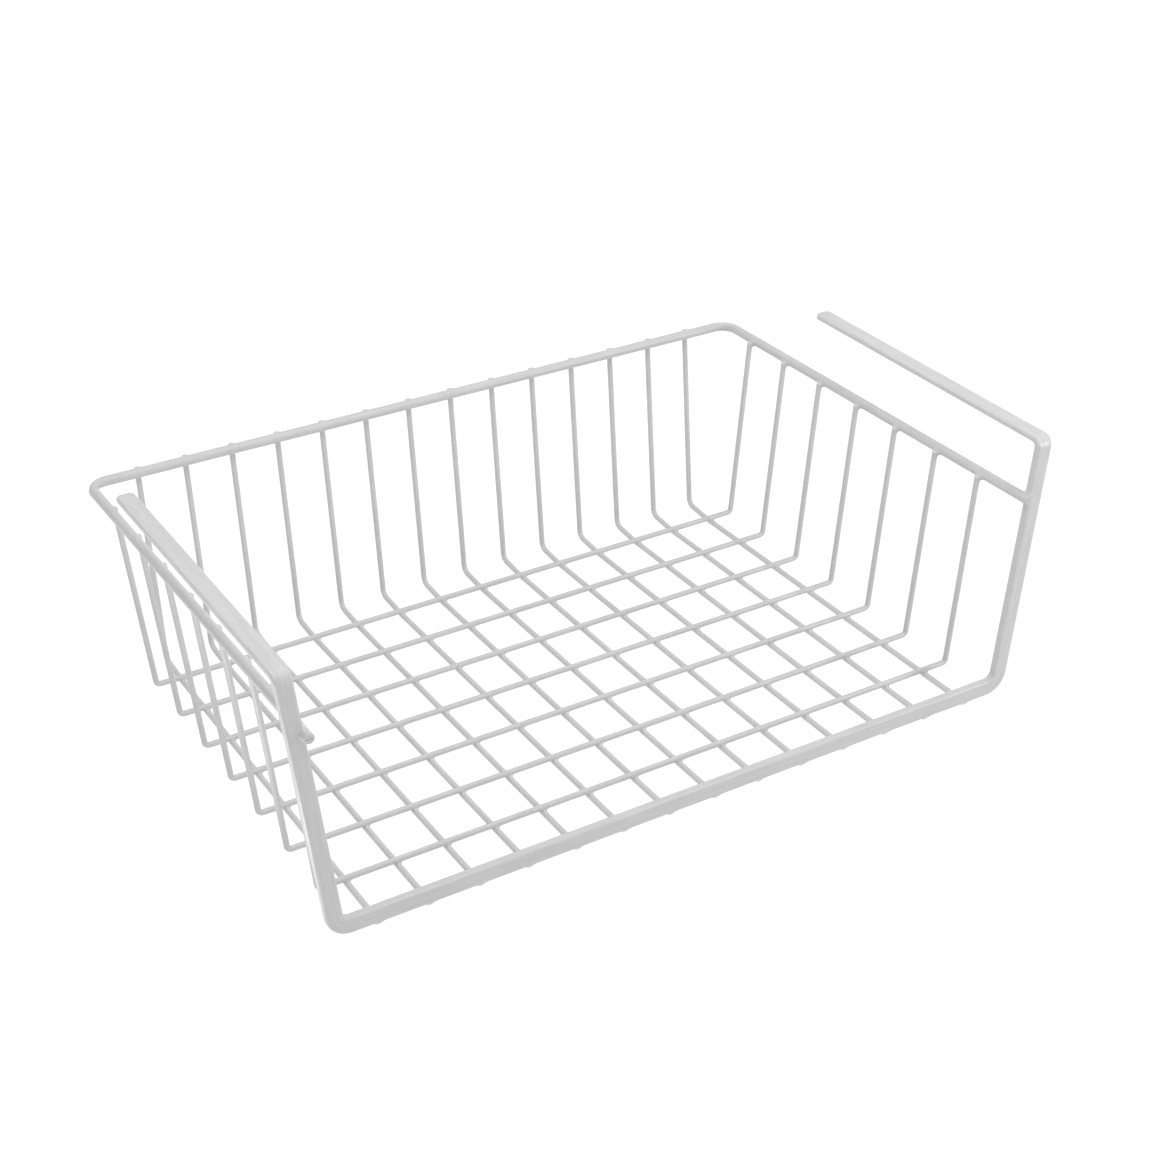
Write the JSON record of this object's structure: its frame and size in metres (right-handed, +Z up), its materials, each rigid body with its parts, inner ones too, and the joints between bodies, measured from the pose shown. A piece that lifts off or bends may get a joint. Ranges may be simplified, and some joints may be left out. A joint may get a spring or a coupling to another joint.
{
  "type": "under shelf basket",
  "caption": "Open-front welded wire basket whose two flat arms slide over a shelf board, so that it hangs below the shelf.",
  "frame": {"origin": "middle of the overall box in X and Y, at the height of the surface that the floor wires stand on", "axes": "+X to the right as seen from the open front, +Y from the open front to the back wall, +Z up"},
  "size_m": [0.4016, 0.261, 0.142],
  "materials": {
    "hanger_coating": "satin light grey coating",
    "rim_coating": "satin light grey coating",
    "cross_wire_coating": "satin light grey coating",
    "long_wire_coating": "satin light grey coating"
  },
  "bodies": {
    "root": {"hanger_frame": "hanger_coating", "rim_wire": "rim_coating", "cross_wire_1": "cross_wire_coating", "cross_wire_2": "cross_wire_coating", "cross_wire_3": "cross_wire_coating", "cross_wire_4": "cross_wire_coating", "cross_wire_5": "cross_wire_coating", "cross_wire_6": "cross_wire_coating", "cross_wire_7": "cross_wire_coating", "long_wire_1": "long_wire_coating", "long_wire_2": "long_wire_coating", "long_wire_3": "long_wire_coating", "long_wire_4": "long_wire_coating", "long_wire_5": "long_wire_coating", "long_wire_6": "long_wire_coating", "long_wire_7": "long_wire_coating", "long_wire_8": "long_wire_coating", "long_wire_9": "long_wire_coating", "long_wire_10": "long_wire_coating", "long_wire_11": "long_wire_coating", "long_wire_12": "long_wire_coating", "long_wire_13": "long_wire_coating", "long_wire_14": "long_wire_coating"}
  },
  "joints": []
}
